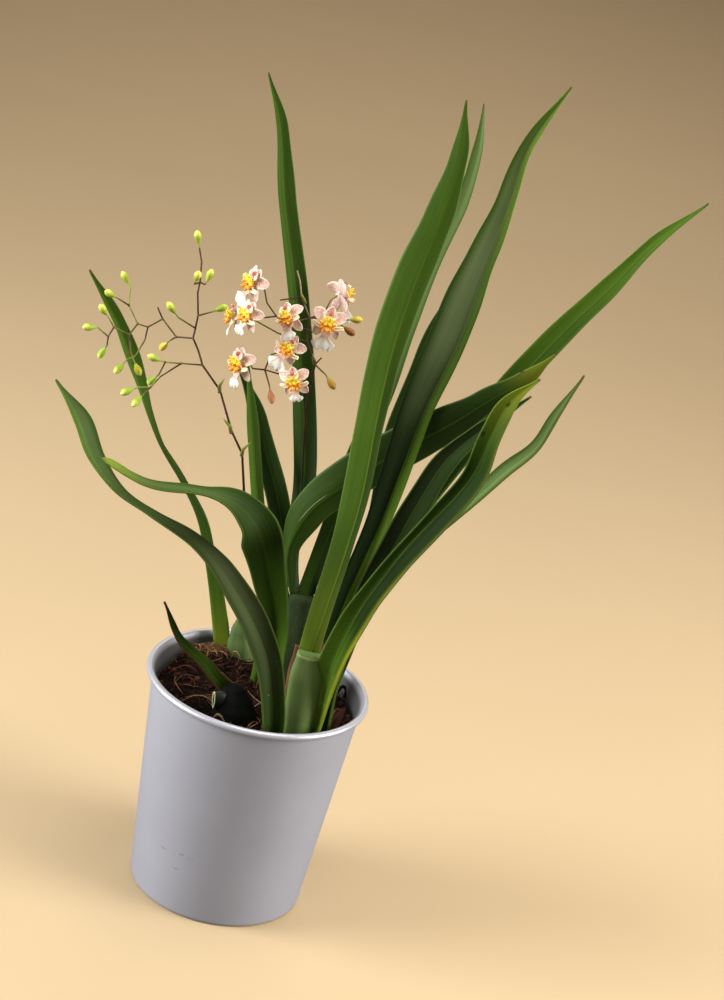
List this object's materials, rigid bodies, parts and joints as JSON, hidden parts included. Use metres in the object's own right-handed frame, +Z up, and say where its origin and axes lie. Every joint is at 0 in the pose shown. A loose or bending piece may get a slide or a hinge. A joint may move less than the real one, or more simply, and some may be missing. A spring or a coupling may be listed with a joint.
{
  "type": "potted orchid",
  "caption": "Small orchid with folded strap leaves, ribbed bulbs, a spray of buds and a spray of small pink and yellow blooms, growing in bark mix in a tapered metal pot with a rolled rim.",
  "frame": {"origin": "middle of the pot's flat base, where it stands on a table", "axes": "+Z up along the pot's axis, -Y towards the front of the plant, +X to its right as seen from the front"},
  "size_m": [0.2358, 0.0963, 0.3722],
  "materials": {
    "pot": "satin, pale lilac grey, lightly scuffed",
    "bark": "rough, damp, dark brown",
    "bulb": "waxy, ribbed, grey green",
    "bulb_dark": "waxy, dark green",
    "leaf": "smooth, slightly waxy green",
    "leaf_dark": "smooth, dark green",
    "stub": "pale green, cut end",
    "sheath": "dry, papery, orange brown",
    "spray": "dark maroon stems, lime buds",
    "tepal": "soft, cream to pale pink",
    "lip": "soft, white with a pink blush",
    "callus": "waxy, warty, yellow to orange"
  },
  "bodies": {
    "root": {"pot": "pot", "bark_mix": "bark", "bulb_front": "bulb", "bulb_back": "bulb", "bulb_left": "bulb", "bulb_old": "bulb_dark", "leaf_far_left_low": "leaf", "leaf_tongue": "leaf", "leaf_far_left_high": "leaf", "leaf_torn": "leaf", "leaf_centre_tall": "leaf", "leaf_centre_narrow": "leaf", "leaf_centre_dark": "leaf_dark", "leaf_right_arching": "leaf", "leaf_front_tall": "leaf", "leaf_second_tall": "leaf", "leaf_right_tall": "leaf", "leaf_right_inner": "leaf", "leaf_right_edged": "leaf", "leaf_right_dark": "leaf_dark", "leaf_right_low": "leaf", "leaf_far_right": "leaf", "dry_sheath_left": "sheath", "dry_sheath_right": "sheath", "leaf_stub": "stub", "spray_budding": "spray", "spray_blooming": "spray", "bloom_1_tepals": "tepal", "bloom_1_lip": "lip", "bloom_1_callus": "callus", "bloom_2_tepals": "tepal", "bloom_2_lip": "lip", "bloom_2_callus": "callus", "bloom_3_tepals": "tepal", "bloom_3_lip": "lip", "bloom_3_callus": "callus", "bloom_4_tepals": "tepal", "bloom_4_lip": "lip", "bloom_4_callus": "callus", "bloom_5_tepals": "tepal", "bloom_5_lip": "lip", "bloom_5_callus": "callus", "bloom_6_tepals": "tepal", "bloom_6_lip": "lip", "bloom_6_callus": "callus", "bloom_7_tepals": "tepal", "bloom_7_lip": "lip", "bloom_7_callus": "callus", "bloom_8_tepals": "tepal", "bloom_8_lip": "lip", "bloom_8_callus": "callus", "bloom_9_tepals": "tepal", "bloom_9_lip": "lip", "bloom_9_callus": "callus"}
  },
  "joints": []
}
